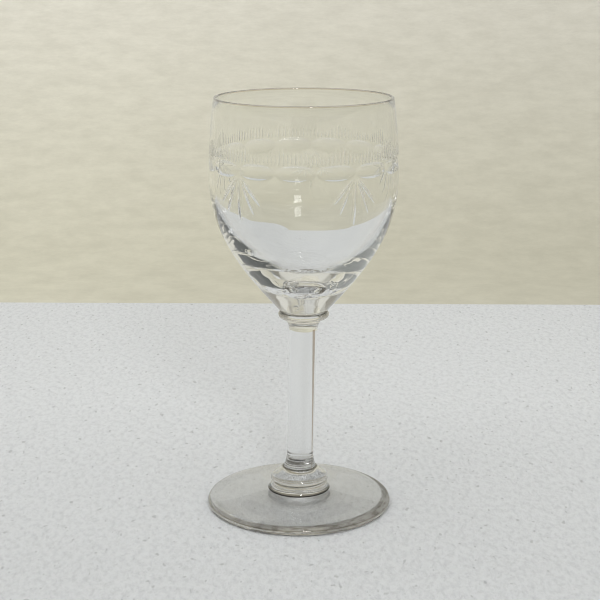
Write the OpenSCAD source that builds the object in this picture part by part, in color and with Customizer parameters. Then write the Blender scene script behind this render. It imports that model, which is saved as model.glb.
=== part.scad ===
// Antique stemmed wine glass: thick-based cut bowl on a collar, a slightly leaning solid stem,
// a cushion button and a round foot. The frame has its origin at the centre of the foot's
// underside, +Z up the glass and +X to the side that the stem leans to. Millimetres.

/* [Bowl] */
// Height of the rim above the table
rim_z = 148.4; // [140:0.1:160]
// Outer radius of the bowl at its widest
belly_r = 33.05; // [30:0.05:36]
// Height at which the bowl is widest
belly_z = 120.9; // [117:0.1:126]
// Radius of the arc that draws the wall in from the belly to the rim
shoulder_arc_r = 197; // [150:1:300]
// Outer radius of the bowl's base, where it sits on the collar
bowl_base_r = 8.2; // [7:0.1:8.5]
// Angle from the vertical at which the bowl leaves the collar
base_angle = 42.3; // [38:0.1:46]
// Wall thickness at the belly
belly_wall = 1.65; // [1.4:0.05:2]
// Wall thickness at the rim
rim_wall = 1.0; // [0.9:0.1:1.5]
// Height of the lowest point of the hollow, above the solid cone
hollow_z = 82.3; // [80:0.1:88]

/* [Cut decoration] */
// Number of oval cuts round the belly
olive_count = 15; // [10:1:18]
// Height of the row of oval cuts
olive_z = 126.6; // [123:0.1:130]
// Depth of each oval cut
olive_depth = 0.5; // [0.2:0.05:0.7]
// Height of each oval cut
olive_h = 5.4; // [3:0.1:7]
// Turn of the row about the bowl's axis, from +X
olive_turn = 25; // [0:1:359]

/* [Collar and stem] */
// Outer radius of the collar
collar_r = 9.05; // [8.8:0.05:10]
// Thickness of the collar
collar_h = 2.4; // [2:0.1:3]
// Height of the collar's top face, where the bowl begins
collar_top_z = 72.4; // [70:0.1:76]
// Radius of the stem just under its shoulder
stem_top_r = 5.1; // [4.9:0.05:5.1]
// Radius of the stem just above its flare
stem_bottom_r = 4.8; // [4.4:0.05:4.8]
// Sideways offset of the stem's lower end from the foot's axis
stem_base_shift = 0.3; // [0:0.1:0.5]
// Sideways offset of the bowl's axis from the foot's axis
bowl_shift = 1.7; // [0:0.1:2]

/* [Foot] */
// Radius of the foot
foot_r = 33.4; // [31:0.1:36]
// Thickness of the foot's rounded edge
foot_edge_h = 2.6; // [2.2:0.1:3.2]
// Height of the foot at its middle
foot_top_z = 5.6; // [5:0.1:6.8]
// Rise of the underside's shallow hollow at its middle
foot_hollow_h = 2.2; // [1:0.1:2.6]
// Largest radius of the cushion button on the foot
knop_r = 11.3; // [10.5:0.1:12]
// Height of the cushion button's top, where the stem begins
knop_top_z = 14; // [13.4:0.1:15.5]

/* [Hidden] */
$fn = 96;

clear_glass = [0.86, 0.88, 0.88, 0.45];
grey_glass = [0.78, 0.78, 0.77, 0.5];

// Points of a cubic Bezier curve from p0 to p3
function bezier(p0, p1, p2, p3, steps) = [
    for (i = [0 : steps]) let (t = i / steps, s = 1 - t)
        s^3 * p0 + 3 * s^2 * t * p1 + 3 * s * t^2 * p2 + t^3 * p3
];

// Points of an arc of radius r about centre c, from angle a0 to angle a1
function arc(c, r, a0, a1, steps) = [
    for (i = [0 : steps]) let (a = a0 + (a1 - a0) * i / steps)
        c + r * [cos(a), sin(a)]
];

// Radius of the bowl's outside at height z, from the belly up
function upper_r(z) = belly_r - shoulder_arc_r + sqrt(shoulder_arc_r^2 - (z - belly_z)^2);

// Bowl: rounded lip, and the arcs of the wall above the belly
lip_r = rim_wall / 2;
lip_z = rim_z - lip_r;
rim_r = upper_r(lip_z);
wall_sweep = asin((lip_z - belly_z) / shoulder_arc_r);
inner_belly_r = belly_r - belly_wall;

// Bowl: handles of the outer curve from the collar up to the belly
base_pull = 26.6;
outer_base = [bowl_base_r, collar_top_z];
outer_low = outer_base + base_pull * [sin(base_angle), cos(base_angle)];
outer_high = [belly_r, belly_z - 17.5];

// Bowl: handles of the hollow's curve from its lowest point up to the belly
hollow_low = [12.6, hollow_z];
hollow_high = [inner_belly_r + 0.9, hollow_z + 18];

// Stem: the lean carries its axis from the button's top to the collar's underside
collar_bottom_z = collar_top_z - collar_h;
stem_lean = atan((bowl_shift - stem_base_shift) / (collar_bottom_z - knop_top_z));
flare_top_z = knop_top_z + 3.3;
flare_r = 5.8;
flare_top_r = 5.0;
shoulder_z = collar_bottom_z - 3.8;
shoulder_r = 5.25;
shoulder_waist_r = 5.35;
shoulder_top_r = 7.2;
rod_inset = 1.4;

// Foot: inner radius of the flat ring that it stands on
foot_ring_r = foot_r - 4.4;

// Foot: the button's dome ends in a soft edge above a short flaring wall
knop_edge_r = 10;
knop_edge_z = 9.5;
knop_edge_round = 0.45;

// Cutter that grinds an oval of the stated height and depth into the belly
olive_cutter_r = (olive_h / 2)^2 / (2 * olive_depth);
olive_surface_r = upper_r(olive_z);

module revolve(points) {
    rotate_extrude() polygon(points);
}

// Oval cuts, end to end round the belly
module olives() {
    for (i = [0 : olive_count - 1])
        rotate([0, 0, olive_turn + i * 360 / olive_count])
            translate([olive_surface_r + olive_cutter_r - olive_depth, 0, olive_z])
                rotate([90, 0, 0])
                    cylinder(r = olive_cutter_r, h = 14, center = true);
}

// Blown bowl, solid below the hollow and rounded at the lip
module bowl() {
    outer_lower = bezier(outer_base, outer_low, outer_high, [belly_r, belly_z], 28);
    outer_upper = arc([belly_r - shoulder_arc_r, belly_z], shoulder_arc_r, 1, wall_sweep, 6);
    lip = arc([rim_r - lip_r, lip_z], lip_r, 20, 160, 6);
    inner_upper = [
        for (i = [0 : 6]) let (k = i / 6, z = lip_z + k * (belly_z - lip_z))
            [upper_r(z) - rim_wall - k * (belly_wall - rim_wall), z]
    ];
    inner_lower = bezier([inner_belly_r, belly_z], hollow_high, hollow_low, [0, hollow_z], 28);
    color(clear_glass)
        translate([bowl_shift, 0, 0])
            difference() {
                revolve(concat(
                    [[0, collar_top_z]], outer_lower, outer_upper, lip, inner_upper,
                    [for (i = [1 : 28]) inner_lower[i]]
                ));
                olives();
            }
}

// Collar: a flat wafer with a half-round edge
module merese() {
    edge = collar_h / 2;
    color(clear_glass)
        translate([bowl_shift, 0, 0])
            revolve(concat(
                [[0, collar_bottom_z]],
                arc([collar_r - edge, collar_bottom_z + edge], edge, -90, 90, 12),
                [[0, collar_top_z]]
            ));
}

// Small flare at the stem's lower end
module stem_flare() {
    translate([stem_base_shift, 0, 0])
        revolve([
            [0, knop_top_z], [flare_r, knop_top_z], [flare_r - 0.3, knop_top_z + 1],
            [flare_top_r + 0.1, flare_top_z - 0.8], [flare_top_r, flare_top_z], [0, flare_top_z]
        ]);
}

// Small shoulder drawn out at the stem's top, under the collar
module stem_shoulder() {
    translate([bowl_shift, 0, 0])
        revolve(concat(
            [[0, shoulder_z], [shoulder_r, shoulder_z]],
            bezier([shoulder_r, shoulder_z + 0.4], [shoulder_waist_r, shoulder_z + 1.6],
                [shoulder_top_r - 0.8, collar_bottom_z - 1], [shoulder_top_r, collar_bottom_z], 8),
            [[0, collar_bottom_z]]
        ));
}

// Leaning rod, whose ends lie inside the flare and the shoulder
module stem_rod() {
    translate([stem_base_shift, 0, knop_top_z])
        rotate([0, stem_lean, 0])
            translate([0, 0, rod_inset])
                cylinder(
                    h = collar_bottom_z - knop_top_z - 2 * rod_inset,
                    r1 = stem_bottom_r, r2 = stem_top_r
                );
}

module stem() {
    color(clear_glass) {
        stem_flare();
        stem_rod();
        stem_shoulder();
    }
}

// Cushion button: a domed top, a soft edge and a short wall that widens to the foot
module knop() {
    edge_r = knop_edge_r + knop_edge_round;
    dome = bezier([flare_r + 0.2, knop_top_z], [8.3, knop_top_z - 1.8],
        [edge_r, knop_edge_z + 1.9], [edge_r, knop_edge_z], 12);
    color(clear_glass)
        revolve(concat(
            [[0, knop_top_z]], dome,
            [[knop_edge_r, knop_edge_z - knop_edge_round], [knop_edge_r + 0.2, foot_top_z + 2],
                [knop_r, foot_top_z], [0, foot_top_z]]
        ));
}

// Foot: a thin disc with a half-round edge that rises gently to the button, above and below
module foot() {
    edge = foot_edge_h / 2;
    top = bezier([foot_r - edge, foot_edge_h], [foot_r - 8, foot_edge_h + 1.2],
        [knop_r + 8, foot_top_z - 1.6], [knop_r, foot_top_z], 16);
    hollow = bezier([0, foot_hollow_h], [foot_ring_r / 3, foot_hollow_h],
        [foot_ring_r * 2 / 3, foot_hollow_h / 4], [foot_ring_r, 0], 12);
    color(grey_glass)
        revolve(concat(
            hollow,
            arc([foot_r - edge, edge], edge, -90, 80, 12),
            top,
            [[0, foot_top_z]]
        ));
}

bowl();
merese();
stem();
knop();
foot();
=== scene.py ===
"""The looks of an antique cut wine glass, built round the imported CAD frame: metres, +Z up.

Five pieces of glass turned on a lathe, one for each CAD node: bowl, merese (the collar), stem, knop (the
cushion button) and foot. Lengths are given as a number of millimetres times MM.
"""
import math

import bmesh
import bpy
import numpy as np
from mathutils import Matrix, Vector


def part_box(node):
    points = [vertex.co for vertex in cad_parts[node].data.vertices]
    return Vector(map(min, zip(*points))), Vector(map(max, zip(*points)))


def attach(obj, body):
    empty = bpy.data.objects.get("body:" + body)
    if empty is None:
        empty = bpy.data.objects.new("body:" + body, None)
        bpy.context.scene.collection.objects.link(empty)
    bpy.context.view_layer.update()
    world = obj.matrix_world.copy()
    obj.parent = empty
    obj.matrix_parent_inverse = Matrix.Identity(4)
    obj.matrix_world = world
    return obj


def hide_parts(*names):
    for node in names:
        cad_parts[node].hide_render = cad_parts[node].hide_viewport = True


MM = 0.001

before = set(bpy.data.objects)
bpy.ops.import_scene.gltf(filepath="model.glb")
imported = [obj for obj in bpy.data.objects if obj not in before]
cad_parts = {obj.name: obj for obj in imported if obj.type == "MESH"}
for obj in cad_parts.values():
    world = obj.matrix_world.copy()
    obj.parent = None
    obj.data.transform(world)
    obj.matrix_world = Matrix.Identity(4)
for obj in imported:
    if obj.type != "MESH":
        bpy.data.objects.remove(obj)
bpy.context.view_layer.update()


# ---------------------------------------------------------------- sizes from the frame

def centre_x(node):
    """Where a round CAD node's axis stands along X."""
    low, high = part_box(node)
    return (low.x + high.x) / 2


def radius(node):
    """Largest radius of a round CAD node."""
    low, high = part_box(node)
    return (high.y - low.y) / 2


def bottom(node):
    """Height of a CAD node's lowest point."""
    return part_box(node)[0].z


def top(node):
    """Height of a CAD node's highest point."""
    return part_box(node)[1].z


# The belly keeps this far inside the CAD box
CLEARANCE = 0.005 * MM

BOWL_X = centre_x("bowl")
BELLY_R = radius("bowl") - CLEARANCE
COLLAR_TOP = bottom("bowl")
RIM_Z = top("bowl")
COLLAR_R = radius("merese")
COLLAR_BOTTOM = bottom("merese")
STEM_BOTTOM = bottom("stem")
KNOP_R = radius("knop")
FOOT_R = radius("foot")
FOOT_TOP = top("foot")

# Bowl: the same curves as the CAD model's
BELLY_Z = 120.9 * MM
WALL_ARC_R = 197 * MM
BASE_R = 8.2 * MM
BASE_ANGLE = math.radians(42.3)
BASE_PULL = 26.6 * MM
BELLY_PULL = 17.5 * MM
BELLY_WALL = 1.65 * MM
RIM_WALL = 1.0 * MM
LIP_R = RIM_WALL / 2
LIP_Z = RIM_Z - LIP_R
HOLLOW_Z = 82.3 * MM
HOLLOW_PULL = 12.6 * MM
HOLLOW_BULGE = 0.9 * MM
HOLLOW_RISE = 18 * MM

# Unevenness of the hollow: it sits a little to one side, with soft ripples all round, fine ones mostly on
# its left, a wavy floor and wrinkles in it. The ripples grow down to that depth below the belly.
HOLLOW_SHIFT = 0.8 * MM
UNEVEN = 0.12 * MM
UNEVEN_SCALE = 2.2 * MM
UNEVEN_FINE = 0.12 * MM
UNEVEN_FINE_SCALE = 0.8 * MM
UNEVEN_DEPTH = 32 * MM
UNEVEN_FLOOR = 0.2 * MM
UNEVEN_FLOOR_SCALE = 1.2 * MM
FLOOR_R = 13 * MM
CREASES = 26
CREASE_DEPTH = 0.6 * MM
CREASE_HALF_W = 0.34 * MM
CREASE_SEED = 4

# Wheel cutting on the outside of the bowl
CUT_LOW = 107.9 * MM
CUT_HIGH = 136.5 * MM
OLIVES = 15
OLIVE_Z = 126.6 * MM
OLIVE_HALF_H = 2.7 * MM
OLIVE_DEPTH = 0.5 * MM
OLIVE_TURN = math.radians(1)
LINES = 150
LINE_BOTTOM = 129.2 * MM
LINE_TOP = 133.5 * MM
LINE_DEPTH = 0.2 * MM
LINE_SEED = 7
FANS = 5
FAN_TURN = math.radians(-59)
FAN_TOP = 124.1 * MM
RAY_DEPTH = 0.42 * MM
RAY_HALF_W = 0.6 * MM
RAY_ENDS = [(-8.8 * MM, 115.3 * MM), (-5.9 * MM, 112.4 * MM), (0, 109.1 * MM),
            (5.9 * MM, 112.4 * MM), (8.8 * MM, 115.3 * MM)]

# Stem, button and foot
STEM_BASE_SHIFT = 0.3 * MM
STEM_TOP_R = 5.1 * MM
STEM_LOW_R = 4.8 * MM
FLARE_R = 5.8 * MM
FLARE_H = 3.3 * MM
SHOULDER_H = 3.8 * MM
SHOULDER_R = 7.2 * MM
KNOP_EDGE_R = 10.0 * MM
KNOP_EDGE_Z = 9.5 * MM
KNOP_EDGE_ROUND = 0.45 * MM
FOOT_EDGE_H = 2.6 * MM
FOOT_RING_R = FOOT_R - 4.4 * MM
FOOT_HOLLOW = 2.2 * MM

# Columns round the axis: fine where the glass is cut, coarse elsewhere. A fine line's groove stands in
# the middle of its own columns and reaches this many columns to each side.
COLUMNS_PER_LINE = 6
LINE_HALF_COLUMNS = 1.6
FINE = LINES * COLUMNS_PER_LINE
COARSE = FINE // 4
ROUND = 256


# ---------------------------------------------------------------- curves

def bezier(p0, p1, p2, p3, steps):
    """Points (r, z) of a cubic Bezier curve."""
    t = np.linspace(0, 1, steps + 1)[:, None]
    p0, p1, p2, p3 = (np.array(p, float) for p in (p0, p1, p2, p3))
    return (1 - t) ** 3 * p0 + 3 * (1 - t) ** 2 * t * p1 + 3 * (1 - t) * t ** 2 * p2 + t ** 3 * p3


def arc(centre, r, start, end, steps):
    """Points (r, z) of an arc, its angles in degrees."""
    a = np.radians(np.linspace(start, end, steps + 1))
    return np.array(centre) + r * np.stack([np.cos(a), np.sin(a)], 1)


def wall_r(z):
    """Outer radius of the bowl above its belly."""
    return BELLY_R - WALL_ARC_R + np.sqrt(WALL_ARC_R ** 2 - (z - BELLY_Z) ** 2)


def outer_curve():
    """Outside of the bowl from the collar to the belly."""
    base = np.array([BASE_R, COLLAR_TOP])
    low = base + BASE_PULL * np.array([math.sin(BASE_ANGLE), math.cos(BASE_ANGLE)])
    return bezier(base, low, (BELLY_R, BELLY_Z - BELLY_PULL), (BELLY_R, BELLY_Z), 400)


OUTER = outer_curve()


def outer_r(z):
    """Outer radius of the bowl at height z."""
    z = np.asarray(z, float)
    below = np.interp(z, OUTER[:, 1], OUTER[:, 0])
    return np.where(z < BELLY_Z, below, wall_r(np.maximum(z, BELLY_Z)))


# ---------------------------------------------------------------- round meshes

class Lathe:
    """Stacks rings of points and joins each to the next one."""

    def __init__(self):
        self.points = []
        self.matt = []
        self.faces = []
        self.slots = []
        self.last = None

    def ring(self, r, z, columns, x=0.0, slot=0, matt=0.0):
        """A ring of that radius, one number or one for each column. The faces up to it take the slot."""
        angle = np.arange(columns) * 2 * math.pi / columns
        r = np.broadcast_to(r, columns)
        z = np.broadcast_to(z, columns)
        start = len(self.points)
        self.points += list(zip(x + r * np.cos(angle), r * np.sin(angle), z))
        self.matt += list(np.broadcast_to(matt, columns))
        self._join(list(range(start, start + columns)), slot)

    def pole(self, z, x=0.0, slot=0):
        """One point on the axis, which opens or closes the shape."""
        self.points.append((x, 0.0, z))
        self.matt.append(0.0)
        self._join([len(self.points) - 1], slot)

    def _join(self, ring, slot):
        below, self.last = self.last, ring
        if below is None:
            return
        if len(below) < len(ring):
            self._stitch(ring, below, slot, turned=True)
        else:
            self._stitch(below, ring, slot, turned=False)

    def _stitch(self, many, few, slot, turned):
        """Joins a ring to one with as many points, fewer by a whole factor, or one point, in triangles."""
        n, m = len(many), len(few)
        step = n // m
        for i in range(n):
            a, b = many[i], many[(i + 1) % n]
            self._face((a, b, few[((i + step // 2) // step) % m]), slot, turned)
            if m == n:
                self._face((b, few[(i + 1) % m], few[i]), slot, turned)
        if 1 < m < n:
            for j in range(m):
                middle = many[(j * step + step - step // 2) % n]
                self._face((middle, few[(j + 1) % m], few[j]), slot, turned)

    def _face(self, face, slot, turned):
        self.faces.append(face[::-1] if turned else face)
        self.slots.append(slot)

    def build(self, name, materials):
        mesh = bpy.data.meshes.new(name)
        mesh.from_pydata([tuple(map(float, p)) for p in self.points], [], self.faces)
        for material in materials:
            mesh.materials.append(material)
        mesh.polygons.foreach_set("material_index", self.slots)
        mesh.attributes.new("ground_matt", "FLOAT", "POINT").data.foreach_set("value", self.matt)
        tidy = bmesh.new()
        tidy.from_mesh(mesh)
        bmesh.ops.recalc_face_normals(tidy, faces=tidy.faces)
        tidy.to_mesh(mesh)
        tidy.free()
        mesh.shade_smooth()
        piece = bpy.data.objects.new(name, mesh)
        bpy.context.scene.collection.objects.link(piece)
        return piece


# ---------------------------------------------------------------- wheel cutting

def across(angle, centre):
    """Distance round the belly from a centre line, in metres."""
    turn = (angle - centre + math.pi) % (2 * math.pi) - math.pi
    return turn * BELLY_R


def olive_cut(angle, z):
    """Depth of the row of ovals."""
    pitch = 2 * math.pi / OLIVES
    near = np.round((angle - OLIVE_TURN) / pitch) * pitch + OLIVE_TURN
    s = np.abs(across(angle, near)) / (BELLY_R * pitch / 2)
    t = np.abs(z - OLIVE_Z) / OLIVE_HALF_H
    return OLIVE_DEPTH * np.clip(1 - s ** 2.2 - t ** 2, 0, 1) ** 0.8


def line_tops():
    """Where each fine line runs out, as the cutter's hand rose and fell, and how deep it is."""
    rng = np.random.default_rng(LINE_SEED)
    j = np.arange(LINES)
    wave = 1.5 * np.sin(j * 2 * math.pi / 10 + 0.6) * np.sin(j * 2 * math.pi / 37)
    tops = LINE_TOP + (wave + rng.normal(0, 0.35, LINES)) * MM
    return tops, rng.uniform(0.55, 1.25, LINES)


def line_cut(angle, z):
    """Depth of the fine upright lines above the ovals."""
    pitch = 2 * math.pi / LINES
    line = np.floor(angle / pitch + 1e-6)
    j = line.astype(int) % LINES
    tops, strength = line_tops()
    off = np.abs(angle / pitch - line - 0.5) * COLUMNS_PER_LINE
    groove = np.clip(1 - off / LINE_HALF_COLUMNS, 0, 1)
    start = np.clip((z - LINE_BOTTOM) / (0.5 * MM), 0, 1)
    end = np.clip((tops[j] - z) / (1.6 * MM), 0, 1)
    return LINE_DEPTH * strength[j] * groove * start * end


def ray_cut(angle, z):
    """Depth of the fans of five leaf-shaped rays below the ovals."""
    depth = np.zeros(np.broadcast(angle, z).shape)
    for k in range(FANS):
        s = across(angle, FAN_TURN + k * 2 * math.pi / FANS)
        for end_s, end_z in RAY_ENDS:
            start_s = 0.12 * end_s
            ds, dz = end_s - start_s, end_z - FAN_TOP
            length = math.hypot(ds, dz)
            along = ((s - start_s) * ds + (z - FAN_TOP) * dz) / length ** 2
            off = np.abs((s - start_s) * dz - (z - FAN_TOP) * ds) / length
            leaf = np.clip(4 * along * (1 - along), 0, 1) ** 0.5 * (1.15 - 0.3 * along)
            groove = np.clip(1 - off / np.maximum(RAY_HALF_W * leaf, 1e-9), 0, 1)
            depth = np.maximum(depth, RAY_DEPTH * leaf * groove)
    return depth


def cut_depth(angle, z):
    """How deep the wheel went at this place on the bowl."""
    return np.maximum(np.maximum(olive_cut(angle, z), line_cut(angle, z)), ray_cut(angle, z))


def ground_matt(angle, z):
    """How matt the wheel left the glass, 0 to 1: the narrow cuts were never polished, the ovals were."""
    narrow = np.maximum(line_cut(angle, z) / LINE_DEPTH, ray_cut(angle, z) / RAY_DEPTH)
    return np.clip(np.maximum(1.6 * narrow, 0.2 * olive_cut(angle, z) / OLIVE_DEPTH), 0, 1)


# ---------------------------------------------------------------- pieces

def ripple(angle, z, scale, seed):
    """Smooth unevenness of hand-worked glass, about -1 to 1."""
    rng = np.random.default_rng(seed)
    total = np.zeros(np.broadcast(angle, z).shape)
    for turns in (1, 2, 3, 5, 8, 12):
        rise = rng.uniform(0.5, 1.6) / scale
        total += np.sin(turns * angle + rise * z + rng.uniform(0, 6.3)) / turns ** 0.6
    return total / 2.4


def creases(angle, r):
    """Short wandering wrinkles that the blowing iron left at the bottom of the hollow, 0 to 1."""
    rng = np.random.default_rng(CREASE_SEED)
    x, y = r * np.cos(angle), r * np.sin(angle)
    total = np.zeros(angle.shape)
    for _ in range(CREASES):
        turn, reach = rng.uniform(0, 2 * math.pi), rng.uniform(2.5, 14) * MM
        along, length = rng.uniform(0, math.pi), rng.uniform(1.4, 2.8) * MM
        cx, cy = reach * math.cos(turn), reach * math.sin(turn)
        s = (x - cx) * math.cos(along) + (y - cy) * math.sin(along)
        t = (y - cy) * math.cos(along) - (x - cx) * math.sin(along)
        t = t + 0.5 * MM * np.sin(s / (0.7 * MM) + rng.uniform(0, 6.3))
        total = np.maximum(total, np.exp(-(s / length) ** 4 - (t / CREASE_HALF_W) ** 2))
    return total


def bowl_outside(lathe):
    """The outer wall: plain below and above the cutting, fine rings where the wheel went."""
    for z in np.linspace(COLLAR_TOP, CUT_LOW, 31)[:-1]:
        lathe.ring(outer_r(z), z, COARSE, BOWL_X)
    angle = np.arange(FINE) * 2 * math.pi / FINE
    ovals_low, ovals_high = FAN_TOP - 0.5 * MM, LINE_BOTTOM + 0.3 * MM
    heights = np.concatenate([
        np.arange(CUT_LOW, ovals_low, 0.4 * MM),
        np.arange(ovals_low, ovals_high, 0.3 * MM),
        np.arange(ovals_high, CUT_HIGH, 0.6 * MM),
    ])
    for z in heights:
        lathe.ring(outer_r(z) - cut_depth(angle, z), z, FINE, BOWL_X, matt=ground_matt(angle, z))
    for z in np.linspace(CUT_HIGH, LIP_Z, 7)[:-1]:
        lathe.ring(outer_r(z), z, COARSE, BOWL_X)


def uneven_wall(turn, r, z):
    """How far the hollow's wall stands out, more and more towards the bottom."""
    low = np.clip((BELLY_Z - z) / UNEVEN_DEPTH, 0, 1) ** 4
    left = 0.55 - 0.45 * np.cos(turn)
    soft = UNEVEN * ripple(turn, z, UNEVEN_SCALE, seed=3)
    fine = UNEVEN_FINE * left * ripple(turn, z, UNEVEN_FINE_SCALE, seed=8)
    return (soft + fine) * low * min(1, r / (4 * MM))


def uneven_floor(turn, r):
    """How far the hollow's floor rises."""
    wavy = UNEVEN_FLOOR * min(1, r / (5 * MM)) * np.clip((FLOOR_R - r) / (4 * MM), 0, 1)
    rise = 0.5 + 0.5 * ripple(turn, r, UNEVEN_FLOOR_SCALE, seed=21)
    return wavy * rise + CREASE_DEPTH * creases(turn, r)


def bowl_hollow(lathe):
    """The inside, from the lip down to the bottom of the hollow."""
    turn = np.arange(COARSE) * 2 * math.pi / COARSE
    for k in np.linspace(0, 1, 9)[1:]:
        z = LIP_Z + k * (BELLY_Z - LIP_Z)
        lathe.ring(outer_r(z) - RIM_WALL - k * (BELLY_WALL - RIM_WALL), z, COARSE, BOWL_X)
    inner_r = BELLY_R - BELLY_WALL
    hollow = bezier((inner_r, BELLY_Z), (inner_r + HOLLOW_BULGE, HOLLOW_Z + HOLLOW_RISE),
                    (HOLLOW_PULL, HOLLOW_Z), (0, HOLLOW_Z), 220)
    # fewer rings on the wall than on the floor
    for r, z in np.concatenate([hollow[3:132:3], hollow[134:-1:2], hollow[-2:-1]]):
        sideways = HOLLOW_SHIFT * ((BELLY_Z - z) / (BELLY_Z - HOLLOW_Z)) ** 2
        lathe.ring(r + uneven_wall(turn, r, z), z + uneven_floor(turn, r), COARSE, BOWL_X + sideways)
    lathe.pole(HOLLOW_Z, BOWL_X + HOLLOW_SHIFT)


def make_bowl(glass, joint):
    """Thick-based bowl, fused to the collar under its middle and rounded at the lip."""
    lathe = Lathe()
    lathe.pole(COLLAR_TOP, BOWL_X, slot=1)
    lathe.ring(COLLAR_R - (COLLAR_TOP - COLLAR_BOTTOM) / 2, COLLAR_TOP, COARSE, BOWL_X, slot=1)
    bowl_outside(lathe)
    for r, z in arc((outer_r(LIP_Z) - LIP_R, LIP_Z), LIP_R, 0, 180, 10):
        lathe.ring(r, z, COARSE, BOWL_X)
    bowl_hollow(lathe)
    return lathe.build("bowl_glass", [glass, joint])


def make_merese(glass, fused):
    """The collar: a flat wafer with a half-round edge."""
    lathe = Lathe()
    half = (COLLAR_TOP - COLLAR_BOTTOM) / 2
    lathe.pole(COLLAR_BOTTOM, BOWL_X, slot=1)
    lathe.ring(SHOULDER_R, COLLAR_BOTTOM, ROUND, BOWL_X, slot=1)
    for r, z in arc((COLLAR_R - half, COLLAR_BOTTOM + half), half, -90, 90, 20):
        lathe.ring(r, z, ROUND, BOWL_X)
    lathe.pole(COLLAR_TOP, BOWL_X, slot=1)
    return lathe.build("merese_glass", [glass, fused])


def stem_x(z):
    """Where the leaning stem's axis stands at height z."""
    share = (z - STEM_BOTTOM) / (COLLAR_BOTTOM - STEM_BOTTOM)
    return STEM_BASE_SHIFT + (BOWL_X - STEM_BASE_SHIFT) * share


def make_stem(glass, fused):
    """Leaning rod with a grooved flare at its foot and a small shoulder under the collar."""
    flare_top = STEM_BOTTOM + FLARE_H
    shoulder_z = COLLAR_BOTTOM - SHOULDER_H
    flare = bezier((FLARE_R, STEM_BOTTOM), (FLARE_R - 0.35 * MM, STEM_BOTTOM + 1 * MM),
                   (STEM_LOW_R + 0.3 * MM, flare_top - 1 * MM), (STEM_LOW_R + 0.2 * MM, flare_top), 24)
    height = (flare[:, 1] - STEM_BOTTOM) / FLARE_H
    flare[:, 0] -= 0.05 * MM * (0.5 - 0.5 * np.cos(height * 2 * math.pi * 3))
    shoulder = bezier((STEM_TOP_R + 0.15 * MM, shoulder_z + 0.3 * MM),
                      (STEM_TOP_R + 0.25 * MM, shoulder_z + 1.6 * MM),
                      (SHOULDER_R - 0.8 * MM, COLLAR_BOTTOM - 1 * MM), (SHOULDER_R, COLLAR_BOTTOM), 20)
    rod_z = np.linspace(flare_top + 0.25 * MM, shoulder_z, 60)
    rod_r = STEM_LOW_R + (STEM_TOP_R - STEM_LOW_R) * (rod_z - rod_z[0]) / (rod_z[-1] - rod_z[0])
    rod = np.stack([rod_r, rod_z], 1)
    lathe = Lathe()
    lathe.pole(STEM_BOTTOM, stem_x(STEM_BOTTOM), slot=1)
    lathe.ring(FLARE_R, STEM_BOTTOM, ROUND, stem_x(STEM_BOTTOM), slot=1)
    turn = np.arange(ROUND) * 2 * math.pi / ROUND
    for r, z in np.concatenate([flare[1:], rod, shoulder]):
        uneven = 0.03 * MM * ripple(turn, z, 14 * MM, seed=5)
        lathe.ring(r + uneven * (flare_top < z < shoulder_z), z, ROUND, stem_x(z))
    lathe.pole(COLLAR_BOTTOM, BOWL_X, slot=1)
    return lathe.build("stem_glass", [glass, fused])


def make_knop(glass, fused):
    """The cushion button, whose top follows the stem's slight shift."""
    def x(z):
        return STEM_BASE_SHIFT * (z - FOOT_TOP) / (STEM_BOTTOM - FOOT_TOP)

    edge = KNOP_EDGE_ROUND
    dome = bezier((KNOP_EDGE_R + edge, KNOP_EDGE_Z), (KNOP_EDGE_R + edge, KNOP_EDGE_Z + 1.9 * MM),
                  (8.3 * MM, STEM_BOTTOM - 1.8 * MM), (FLARE_R + 0.2 * MM, STEM_BOTTOM), 24)
    wall = bezier((KNOP_R, FOOT_TOP), (KNOP_EDGE_R + 0.5 * MM, FOOT_TOP + 0.6 * MM),
                  (KNOP_EDGE_R + 0.1 * MM, FOOT_TOP + 2.2 * MM),
                  (KNOP_EDGE_R - 0.2 * MM, KNOP_EDGE_Z - edge), 16)
    lathe = Lathe()
    lathe.pole(FOOT_TOP, 0, slot=1)
    lathe.ring(KNOP_R, FOOT_TOP, ROUND, 0, slot=1)
    for r, z in np.concatenate([wall[1:], arc((KNOP_EDGE_R, KNOP_EDGE_Z), edge, -80, -10, 6), dome]):
        lathe.ring(r, z, ROUND, x(z))
    lathe.ring(FLARE_R, STEM_BOTTOM, ROUND, x(STEM_BOTTOM))
    lathe.pole(STEM_BOTTOM, x(STEM_BOTTOM), slot=1)
    return lathe.build("knop_glass", [glass, fused])


def make_foot(glass, fused):
    """Thin disc with a half-round edge that rises gently to the button, hollow underneath."""
    half = FOOT_EDGE_H / 2
    lathe = Lathe()
    hollow = bezier((0, FOOT_HOLLOW), (FOOT_RING_R / 3, FOOT_HOLLOW),
                    (FOOT_RING_R * 2 / 3, FOOT_HOLLOW / 4), (FOOT_RING_R, 0), 30)
    lathe.pole(FOOT_HOLLOW)
    for r, z in hollow[1:]:
        lathe.ring(r, z, ROUND)
    turn = np.arange(ROUND) * 2 * math.pi / ROUND
    for r, z in arc((FOOT_R - half, half), half, -90, 80, 18):
        lathe.ring(r, z, ROUND)
    rise = bezier((FOOT_R - half, FOOT_EDGE_H), (FOOT_R - 8 * MM, FOOT_EDGE_H + 1.2 * MM),
                  (KNOP_R + 8 * MM, FOOT_TOP - 1.6 * MM), (KNOP_R, FOOT_TOP), 40)
    for r, z in rise[:-1]:
        edge = min(1, (FOOT_R - half - r) / (4 * MM), (r - KNOP_R) / (2 * MM))
        lathe.ring(r, z + 0.04 * MM * edge * ripple(turn, r, 6 * MM, seed=11), ROUND)
    lathe.ring(KNOP_R, FOOT_TOP, ROUND)
    lathe.pole(FOOT_TOP, 0, slot=1)
    return lathe.build("foot_glass", [glass, fused])


# ---------------------------------------------------------------- shader nodes

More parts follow.
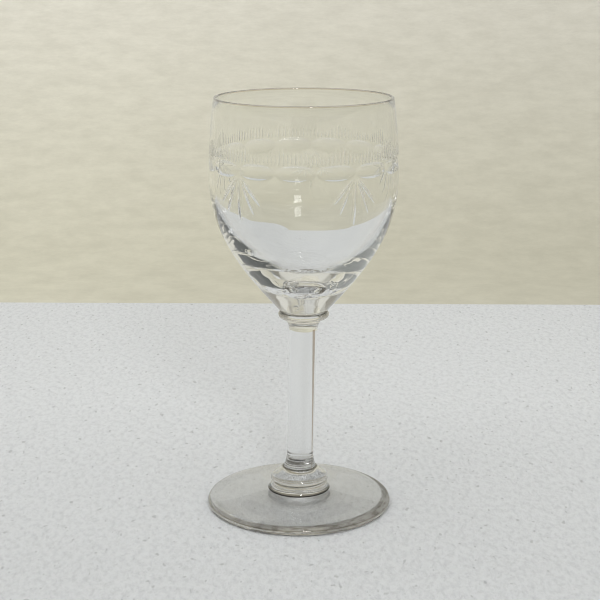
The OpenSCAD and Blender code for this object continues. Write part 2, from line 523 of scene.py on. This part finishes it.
def new_material(name):
    """A material without nodes."""
    material = bpy.data.materials.new(name)
    material.use_nodes = True
    material.node_tree.nodes.clear()
    return material


def add_node(material, kind, inputs=None, **settings):
    """Adds a shader node. Each of its inputs takes a value or the output that feeds it."""
    tree = material.node_tree
    node = tree.nodes.new("ShaderNode" + kind)
    for name, value in settings.items():
        setattr(node, name, value)
    for key, value in (inputs or {}).items():
        if isinstance(value, bpy.types.NodeSocket):
            tree.links.new(value, node.inputs[key])
        else:
            node.inputs[key].default_value = value
    return node


def surface(material, shader_output):
    """Makes that shader the surface of the material."""
    add_node(material, "OutputMaterial", {"Surface": shader_output})


def position(material):
    """Where the shaded point is, in metres in the object's own frame."""
    return add_node(material, "TexCoord").outputs["Object"]


def axes(material):
    """The X, Y and Z outputs of the shaded point's position."""
    return add_node(material, "SeparateXYZ", {"Vector": position(material)}).outputs


def noise(material, vector, scale, detail, **others):
    """The value of a noise texture, about 0.5 on average."""
    inputs = {"Vector": vector, "Scale": scale, "Detail": detail, **others}
    return add_node(material, "TexNoise", inputs).outputs["Fac"]


def maths(material, operation, *values):
    """The output of one operation on numbers, each a value or an output."""
    return add_node(material, "Math", dict(enumerate(values)), operation=operation).outputs["Value"]


def product(material, first, *others):
    """All the numbers multiplied by each other."""
    for other in others:
        first = maths(material, "MULTIPLY", first, other)
    return first


def vectors(material, operation, *values):
    """The output of one operation on vectors, each a value or an output."""
    return add_node(material, "VectorMath", dict(enumerate(values)), operation=operation).outputs["Vector"]


def scaled(material, vector, scale):
    """A vector or colour times a number."""
    inputs = {"Vector": vector, "Scale": scale}
    return add_node(material, "VectorMath", inputs, operation="SCALE").outputs["Vector"]


def remap(material, value, start, end, low=0.0, high=1.0, clamp=True):
    """Turns start...end of the value into low...high."""
    inputs = {"Value": value, "From Min": start, "From Max": end, "To Min": low, "To Max": high}
    return add_node(material, "MapRange", inputs, clamp=clamp).outputs["Result"]


def blend(material, factor, a, b):
    """A colour between a and b."""
    inputs = {"Factor": factor, "A": a, "B": b}
    return add_node(material, "Mix", inputs, data_type="RGBA").outputs["Result"]


def ramp(material, value, low, low_colour, high, high_colour):
    """A colour that goes from one to the other between two values."""
    node = add_node(material, "ValToRGB", {"Fac": value})
    for stop, place, colour in zip(node.color_ramp.elements, (low, high), (low_colour, high_colour)):
        stop.position = place
        stop.color = (*colour, 1)
    return node.outputs["Color"]


def bumps(material, height, distance):
    """The normal of a surface with that relief."""
    inputs = {"Height": height, "Strength": 1, "Distance": distance}
    return add_node(material, "Bump", inputs).outputs["Normal"]


def from_axis(material, centre=(0, 0, 0)):
    """Distance from the upright axis through the centre."""
    away = vectors(material, "SUBTRACT", position(material), centre)
    flat = vectors(material, "MULTIPLY", away, (1, 1, 0))
    return add_node(material, "VectorMath", {0: flat}, operation="LENGTH").outputs["Value"]


# ---------------------------------------------------------------- materials

IOR = 1.51
WHITE = (1, 1, 1, 1)
WAVE = 0.02 * MM
SMEAR = 0.04

BOWL_TINT = (0.992, 0.996, 0.994)
COLLAR_TINT = (0.95, 0.935, 0.89)
STEM_TINT = (0.955, 0.96, 0.958)
KNOP_TINT = (0.978, 0.982, 0.98)
FOOT_TINT = (1.0, 1.0, 0.99)

# Ground glass; painted shade in creases, at the rim and round the foot's edge; and the dirt round joints
MATT = 0.38
CREASE_SHADE = (0.06, 0.055, 0.045)
RIM_SHADE = (0.8, 0.73, 0.64)
RIM_LINE_HALF = 0.3 * MM
FOOT_EDGE_SHADE = (0.3, 0.27, 0.22)
FOOT_EDGE_LINES = [0.9 * MM, 1.9 * MM]
FOOT_EDGE_LINE_HALF = 0.16 * MM
BOWL_JOINT_GRIME = (0.35, 0.26, 0.16)
FOOT_JOINT_GRIME = (0.12, 0.11, 0.09)

# Painted shade: dark lines in the hollow's floor, where its folds look dark from inside the glass
FOLD_SHADE_TINT = (0.1, 0.09, 0.08)
FOLD_REACH = 12 * MM
FOLD_WIDTH = 0.016
FOLD_SHADE_DARKNESS = 0.45

# Painted refraction: a brownish streak down the front of the stem, as if a brown thing behind the glass
# showed through it
REFRACTED_STREAK_TINT = (0.3, 0.225, 0.16)
REFRACTED_STREAK_TOP_X = BOWL_X + 3.7 * MM
REFRACTED_STREAK_LOW_X = STEM_BASE_SHIFT + 4.4 * MM
REFRACTED_STREAK_HALF = 0.5 * MM

# Ring that the foot stands on: rougher where it wore, and darkened with a painted contact shadow, wider at
# the front and right
CONTACT_SHADOW_TINT = (0.12, 0.11, 0.095)
WEAR_AND_SHADOW_R = FOOT_R - 2.2 * MM
WEAR_AND_SHADOW_CENTRE = (-1.2 * MM, 3.4 * MM, 0)
WEAR_ROUGHNESS = 0.2
CONTACT_SHADOW_DARKNESS = 0.6

PLASTER_DARK = (0.58, 0.598, 0.622)
PLASTER_LIGHT = (0.715, 0.737, 0.759)
CANVAS_DARK = (0.685, 0.67, 0.612)
CANVAS_LIGHT = (0.773, 0.758, 0.70)
# Painted shade: the warmer, darker colour that the backdrop takes near the floor
CANVAS_LOW_SHADE = (0.79, 0.785, 0.70)


def glass_material(name, tint, smear=SMEAR):
    """Old clear glass: a faint tint, a slightly wavy skin and a few smears that dull its gloss."""
    material = new_material(name)
    place = position(material)
    tone = noise(material, place, 18, 2)
    colour = blend(material, tone, (*tint, 1), (*(c * 0.985 for c in tint), 1))
    smears = noise(material, place, 60, 6, Roughness=0.65)
    waves = noise(material, place, 55, 1)
    shader = add_node(material, "BsdfPrincipled", {
        "IOR": IOR,
        "Transmission Weight": 1.0,
        "Base Color": colour,
        "Roughness": remap(material, smears, 0.5, 0.8, 0.0, smear),
        "Normal": bumps(material, waves, WAVE),
    })
    surface(material, shader.outputs["BSDF"])
    return material


def blend_input(material, socket, mask, value):
    """Turns a linked input of the material's shader towards the value where the mask is 1."""
    target = material.node_tree.nodes["Principled BSDF"].inputs[socket]
    inputs = {"Factor": mask, "A": target.links[0].from_socket, "B": value}
    kind = "RGBA" if socket == "Base Color" else "FLOAT"
    mix = add_node(material, "Mix", inputs, data_type=kind)
    material.node_tree.links.new(mix.outputs["Result"], target)


def darken(material, mask, tint):
    """Turns the material's colour to the tint where the mask is 1."""
    blend_input(material, "Base Color", mask, (*tint, 1))


def less_clear(material, mask, amount):
    """Lets that much less light through where the mask is 1, for painted shade."""
    clear = remap(material, mask, 0, 1, 1, 1 - amount)
    target = material.node_tree.nodes["Principled BSDF"].inputs["Transmission Weight"]
    material.node_tree.links.new(clear, target)


def matt_cuts(material):
    """Makes the glass matt where the wheel's cuts were left unpolished."""
    cuts = add_node(material, "Attribute", attribute_name="ground_matt")
    blend_input(material, "Roughness", cuts.outputs["Fac"], MATT)


def painted_shade_lines(material, heights, half, tint=CREASE_SHADE, beyond=0):
    """Darkens thin level lines beyond that distance from the axis: painted shade in creases and along
    edges.
    """
    height = axes(material)["Z"]
    outside = maths(material, "GREATER_THAN", from_axis(material), beyond)
    for z in heights:
        line = maths(material, "COMPARE", height, z, half)
        # painted shade along each line
        darken(material, product(material, line, outside), tint)


def painted_fold_shade(material):
    """Painted shade: short wandering dark lines on the floor of the hollow, put only on its faces as seen
    from inside the glass, where folds look dark.
    """
    place = position(material)
    line = maths(material, "COMPARE", noise(material, place, 170, 1), 0.5, FOLD_WIDTH)
    stroke = maths(material, "GREATER_THAN", noise(material, place, 260, 0), 0.5)
    inside = maths(material, "LESS_THAN", from_axis(material, (BOWL_X, 0, 0)), FOLD_REACH)
    above = maths(material, "GREATER_THAN", axes(material)["Z"], HOLLOW_Z - 1 * MM)
    behind = add_node(material, "NewGeometry").outputs["Backfacing"]
    mask = product(material, line, stroke, inside, above, behind)
    # painted shade: darker and less clear along the fold lines
    darken(material, mask, FOLD_SHADE_TINT)
    less_clear(material, mask, FOLD_SHADE_DARKNESS)


def painted_refracted_streak(material):
    """Painted refraction: a brownish streak on the outer skin of the stem's front, as if a brown thing
    behind the glass showed through it, which thins out from the collar to the button.
    """
    x, y, z = axes(material)
    low, high = STEM_BOTTOM, COLLAR_BOTTOM
    line = remap(material, z, low, high, REFRACTED_STREAK_LOW_X, REFRACTED_STREAK_TOP_X, clamp=False)
    width = remap(material, z, low, high, REFRACTED_STREAK_HALF / 4, REFRACTED_STREAK_HALF)
    near = maths(material, "COMPARE", x, line, width)
    behind = add_node(material, "NewGeometry").outputs["Backfacing"]
    outer = maths(material, "LESS_THAN", behind, 0.5)
    front = maths(material, "LESS_THAN", y, 0)
    below = maths(material, "LESS_THAN", z, high - SHOULDER_H)
    # painted refraction: brownish streak on the front's outer skin
    darken(material, product(material, near, outer, front, below), REFRACTED_STREAK_TINT)


def wear_and_shadow_ring(material):
    """Dulls the ring that the foot stands on, where it wore, and darkens it with a painted contact shadow,
    wider at the front and right.
    """
    x, y, z = axes(material)
    outside = remap(material, from_axis(material, WEAR_AND_SHADOW_CENTRE), WEAR_AND_SHADOW_R, WEAR_AND_SHADOW_R + 0.8 * MM)
    under = remap(material, z, 1.0 * MM, 0.4 * MM)
    round_way = product(material, maths(material, "ARCTAN2", y, x), 6 * MM)
    along = add_node(material, "CombineXYZ", {"X": from_axis(material), "Y": round_way})
    scratches = noise(material, along.outputs["Vector"], 1100, 3)
    patchy = remap(material, scratches, 0.35, 0.6, 0.45)
    mask = product(material, outside, under, patchy)
    # painted contact shadow: the ring darker and less clear
    darken(material, mask, CONTACT_SHADOW_TINT)
    blend_input(material, "Roughness", mask, WEAR_ROUGHNESS)
    less_clear(material, mask, CONTACT_SHADOW_DARKNESS)


def cut_glass():
    """The bowl's: matt in the narrow cuts, with painted shade as dark folds in the hollow's floor and as a
    thin brownish line at the rim.
    """
    glass = glass_material("cut_glass", BOWL_TINT)
    matt_cuts(glass)
    # painted shade: dark fold lines in the hollow's floor
    painted_fold_shade(glass)
    # painted shade: a thin brownish line along the lip's top
    painted_shade_lines(glass, [RIM_Z - RIM_LINE_HALF], RIM_LINE_HALF, RIM_SHADE)
    return glass


def collar_glass():
    """The collar's: warmer, with painted shade lines in the creases above and below."""
    glass = glass_material("collar_glass", COLLAR_TINT)
    # painted shade in the creases above and below the collar
    painted_shade_lines(glass, [COLLAR_TOP, COLLAR_BOTTOM], 0.2 * MM)
    return glass


def stem_glass():
    """The stem's, with a painted refraction: a brownish streak down its front."""
    glass = glass_material("clear_glass", STEM_TINT)
    # painted refraction: brownish streak down the stem's front
    painted_refracted_streak(glass)
    return glass


def button_glass():
    """The button's, with painted shade lines in the creases at its foot, its edge and its top."""
    glass = glass_material("button_glass", KNOP_TINT)
    # painted shade in the creases at the button's foot, edge and top
    painted_shade_lines(glass, [FOOT_TOP, KNOP_EDGE_Z - KNOP_EDGE_ROUND, STEM_BOTTOM], 0.3 * MM)
    return glass


def foot_glass():
    """The foot's: more smeared, with lines of painted shade round its edge and a worn ring underneath that
    also carries a painted contact shadow.
    """
    glass = glass_material("foot_glass", FOOT_TINT, smear=0.05)
    edge_r = FOOT_R - FOOT_EDGE_H / 2
    # painted shade: two dark lines round the foot's edge
    painted_shade_lines(glass, FOOT_EDGE_LINES, FOOT_EDGE_LINE_HALF, FOOT_EDGE_SHADE, beyond=edge_r)
    # wear and painted contact shadow on the ring underneath
    wear_and_shadow_ring(glass)
    return glass


def fused_joint(name):
    """The faces where two gathers of glass are fused: light passes straight through."""
    material = new_material(name)
    clear = add_node(material, "BsdfTransparent")
    surface(material, clear.outputs["BSDF"])
    return material


def grimy_joint(name, edge_r, centre, width, grime):
    """A fused joint with a little old dirt in the crevice round its edge."""
    material = new_material(name)
    edge = remap(material, from_axis(material, centre), edge_r - width, edge_r - width / 3)
    clear = add_node(material, "BsdfTransparent", {"Color": blend(material, edge, WHITE, (*grime, 1))})
    surface(material, clear.outputs["BSDF"])
    return material


def board_material():
    """Pale plaster with brush strokes and small pits, with painted light that makes it a little lighter
    towards the back.
    """
    material = new_material("plaster")
    place = position(material)
    turned = {"Vector": place, "Rotation": (0, 0, 0.5), "Scale": (1.0, 0.5, 1.0)}
    stretched = add_node(material, "Mapping", turned).outputs["Vector"]
    strokes = noise(material, stretched, 520, 6, Roughness=0.7)
    colour = ramp(material, strokes, 0.3, PLASTER_DARK, 0.55, PLASTER_LIGHT)
    # painted light: the colour rises towards the back, as if more light fell there
    painted_back_light = remap(material, axes(material)["Y"], -60 * MM, 120 * MM, 0.95, 1.09)
    clean = remap(material, noise(material, stretched, 420, 1), 0.27, 0.31, 0.76)
    shader = add_node(material, "BsdfPrincipled", {
        "Roughness": 0.75,
        "Base Color": scaled(material, colour, product(material, painted_back_light, clean)),
        "Normal": bumps(material, strokes, 1.3 * MM),
    })
    surface(material, shader.outputs["BSDF"])
    return material


def canvas_material():
    """Cream linen backdrop with fine level slubs, with painted shade that makes it a little darker towards
    the floor and the right.
    """
    material = new_material("canvas")
    place = position(material)
    slubs = add_node(material, "Mapping", {"Vector": place, "Scale": (0.3, 0.3, 1.0)}).outputs["Vector"]
    mottle = noise(material, slubs, 150, 5, Roughness=0.75)
    x, y, z = axes(material)
    # painted shade: darker and warmer towards the floor
    height = remap(material, z, -0.01, 0.20)
    tone = blend(material, height, (*CANVAS_LOW_SHADE, 1), WHITE)
    colour = ramp(material, mottle, 0.35, CANVAS_DARK, 0.65, CANVAS_LIGHT)
    # painted shade: darker towards the right
    side = remap(material, x, -0.15, 0.20, 1.09, 0.94)
    shaded = scaled(material, vectors(material, "MULTIPLY", colour, tone), side)
    shader = add_node(material, "BsdfPrincipled", {"Roughness": 0.9, "Base Color": shaded})
    surface(material, shader.outputs["BSDF"])
    return material


# ---------------------------------------------------------------- stage, lights and camera

BOARD_HALF = 296.5 * MM
BOARD_H = 8 * MM
BOARD_GAP = 0.1 * MM
BOARD_TURN = math.radians(-0.9)
FLOOR_Z = -9 * MM
SWEEP_R = 430 * MM
WALL_R = 850 * MM
WALL_H = 620 * MM
WALL_COLUMNS = 96

# A dome of cards: azimuths (0 behind the glass, growing to the camera's right) and elevations in degrees,
# and colour
CARD_R = 750 * MM
CARD_Z = 100 * MM
CARDS = {
    "right_card": ((50, 165), (9, 60), (0.07, 0.075, 0.07)),
    "front_card": ((165, 195), (-6, 60), (0.13, 0.13, 0.125)),
    "left_card": ((-165, -50), (9, 60), (0.24, 0.25, 0.235)),
    "ceiling": ((32, 360), (60, 90), (0.58, 0.58, 0.55)),
    "high_left": ((-50, 0), (42, 60), (0.58, 0.58, 0.55)),
    "high_right": ((32, 50), (42, 60), (0.58, 0.58, 0.55)),
    "high_canvas": ((0, 32), (42, 84), (0.52, 0.49, 0.38)),
    "dark_band": ((-50, 50), (18, 42), (0.25, 0.23, 0.18)),
    "bright_canvas": ((-28, 28), (3, 18), (0.66, 0.65, 0.58)),
    "left_canvas": ((-50, -28), (3, 18), (0.45, 0.44, 0.38)),
    "right_canvas": ((28, 50), (3, 18), (0.45, 0.44, 0.38)),
}

# Lamps: azimuth (0 at the camera's side, growing to its right) and elevation in degrees, distance and size
# in metres, power in watts. All are aimed at the bowl.
LAMPS = {
    "highlight": (10, 30, 0.7, (0.11, 0.10), 1.1),
    "highlight_low": (10, 21, 0.7, (0.05, 0.015), 0.04),
    "window": (-30, 72, 1.5, (1.7, 1.5), 10.5),
}
LAMP_TARGET = Vector((0, 0, 0.1))
SKY_COLOUR = (1.0, 0.99, 0.97, 1)
SKY_STRENGTH = 0.67

CAMERA_PLACE = (0.4 * MM, -492.7 * MM, 200.0 * MM)
CAMERA_DOWN = math.radians(14.1)
LENS = 85.6
SENSOR = 36


def make_board():
    """The plaster-like board that the glass stands on, its edges slightly rounded."""
    mesh = bpy.data.meshes.new("board")
    slab = bmesh.new()
    bmesh.ops.create_cube(slab, size=1)
    for v in slab.verts:
        v.co = Vector((v.co.x * 2 * BOARD_HALF, v.co.y * 2 * BOARD_HALF, (v.co.z - 0.5) * BOARD_H))
    bmesh.ops.bevel(slab, geom=slab.edges[:], offset=1 * MM, segments=2, affect="EDGES")
    slab.to_mesh(mesh)
    slab.free()
    mesh.materials.append(board_material())
    board = bpy.data.objects.new("board", mesh)
    board.location.z = -BOARD_GAP
    board.rotation_euler.z = BOARD_TURN
    bpy.context.scene.collection.objects.link(board)


def make_backdrop():
    """A round cream floor that sweeps up into a wall, open at the top."""
    lathe = Lathe()
    sweep = WALL_R - SWEEP_R
    lathe.pole(FLOOR_Z)
    lathe.ring(SWEEP_R, FLOOR_Z, WALL_COLUMNS)
    for r, z in arc((SWEEP_R, FLOOR_Z + sweep), sweep, -90, 0, 24)[1:]:
        lathe.ring(r, z, WALL_COLUMNS)
    lathe.ring(WALL_R, WALL_H, WALL_COLUMNS)
    backdrop = lathe.build("backdrop", [canvas_material()])
    backdrop.data.flip_normals()


def card_material(name, colour):
    """An even glow that light scattered by the board passes through, so the cards cast no shade on it."""
    material = new_material(name)
    glow = add_node(material, "Emission", {"Color": (*colour, 1)}).outputs["Emission"]
    clear = add_node(material, "BsdfTransparent").outputs["BSDF"]
    scattered = add_node(material, "LightPath").outputs["Diffuse Depth"]
    surface(material, add_node(material, "MixShader", {0: scattered, 1: glow, 2: clear}).outputs["Shader"])
    return material


def make_card(name, azimuths, elevations, colour):
    """A glowing card on a sphere round the glass, seen only in its reflections and refractions."""
    material = card_material(name, colour)
    columns = max(2, round((azimuths[1] - azimuths[0]) / 5))
    rows = max(2, round((elevations[1] - elevations[0]) / 5))
    points = []
    for e in np.radians(np.linspace(*elevations, rows + 1)):
        for a in np.radians(np.linspace(*azimuths, columns + 1)):
            points.append((CARD_R * math.sin(a) * math.cos(e), CARD_R * math.cos(a) * math.cos(e),
                           CARD_R * math.sin(e) + CARD_Z))
    faces = []
    for i in range(rows):
        for j in range(columns):
            k = i * (columns + 1) + j
            faces.append((k, k + 1, k + columns + 2, k + columns + 1))
    mesh = bpy.data.meshes.new(name)
    mesh.from_pydata(points, [], faces)
    mesh.materials.append(material)
    card = bpy.data.objects.new(name, mesh)
    bpy.context.scene.collection.objects.link(card)
    card.visible_camera = False
    card.visible_diffuse = False
    card.visible_shadow = False


def area_light(name, azimuth, elevation, distance, size, power):
    """A soft box aimed at the bowl."""
    a, e = math.radians(azimuth), math.radians(elevation)
    away = Vector((math.sin(a) * math.cos(e), -math.cos(a) * math.cos(e), math.sin(e)))
    light = bpy.data.lights.new(name, "AREA")
    light.shape = "RECTANGLE"
    light.size, light.size_y = size
    light.energy = power
    lamp = bpy.data.objects.new(name, light)
    lamp.location = LAMP_TARGET + away * distance
    lamp.rotation_euler = (-away).to_track_quat("-Z", "Y").to_euler()
    bpy.context.scene.collection.objects.link(lamp)


def make_world():
    """Even pale light from all sides."""
    world = bpy.data.worlds.new("soft_sky")
    bpy.context.scene.world = world
    world.use_nodes = True
    sky = world.node_tree.nodes["Background"]
    sky.inputs["Color"].default_value = SKY_COLOUR
    sky.inputs["Strength"].default_value = SKY_STRENGTH


def make_camera():
    """The photograph's view: a short tele lens, looking down a little."""
    data = bpy.data.cameras.new("camera")
    data.sensor_width = SENSOR
    data.lens = LENS
    data.clip_start = 0.01
    camera = bpy.data.objects.new("camera", data)
    camera.location = CAMERA_PLACE
    camera.rotation_euler = (math.radians(90) - CAMERA_DOWN, 0, 0)
    bpy.context.scene.collection.objects.link(camera)
    bpy.context.scene.camera = camera


def set_light_paths():
    """Plain colours; glass on glass needs many bounces, and the noise filter cleans what is left."""
    scene = bpy.context.scene
    scene.view_settings.view_transform = "Standard"
    scene.cycles.max_bounces = 160
    scene.cycles.transmission_bounces = 64
    scene.cycles.glossy_bounces = 128
    scene.cycles.transparent_max_bounces = 64
    scene.cycles.caustics_refractive = True
    scene.cycles.caustics_reflective = True
    scene.cycles.blur_glossy = 0.3
    scene.cycles.sample_clamp_indirect = 6
    scene.cycles.use_denoising = True
    scene.cycles.filter_width = 1.1


# ---------------------------------------------------------------- build

make_camera()
set_light_paths()
make_world()
make_board()
make_backdrop()
for card_name, card_values in CARDS.items():
    make_card(card_name, *card_values)
for lamp_name, lamp_values in LAMPS.items():
    area_light(lamp_name, *lamp_values)

fused = fused_joint("fused_joint")
bowl_joint = grimy_joint("bowl_joint", COLLAR_R - 1.2 * MM, (BOWL_X, 0, 0), 1.2 * MM, BOWL_JOINT_GRIME)
foot_joint = grimy_joint("foot_joint", KNOP_R, (0, 0, 0), 1.6 * MM, FOOT_JOINT_GRIME)
PIECES = [
    (make_bowl(cut_glass(), bowl_joint), "bowl", "glass_bowl"),
    (make_merese(collar_glass(), fused), "merese", "glass_stem"),
    (make_stem(stem_glass(), fused), "stem", "glass_stem"),
    (make_knop(button_glass(), fused), "knop", "glass_stem"),
    (make_foot(foot_glass(), foot_joint), "foot", "glass_foot"),
]
for piece, node, slot in PIECES:
    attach(piece, "root")
    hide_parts(node)
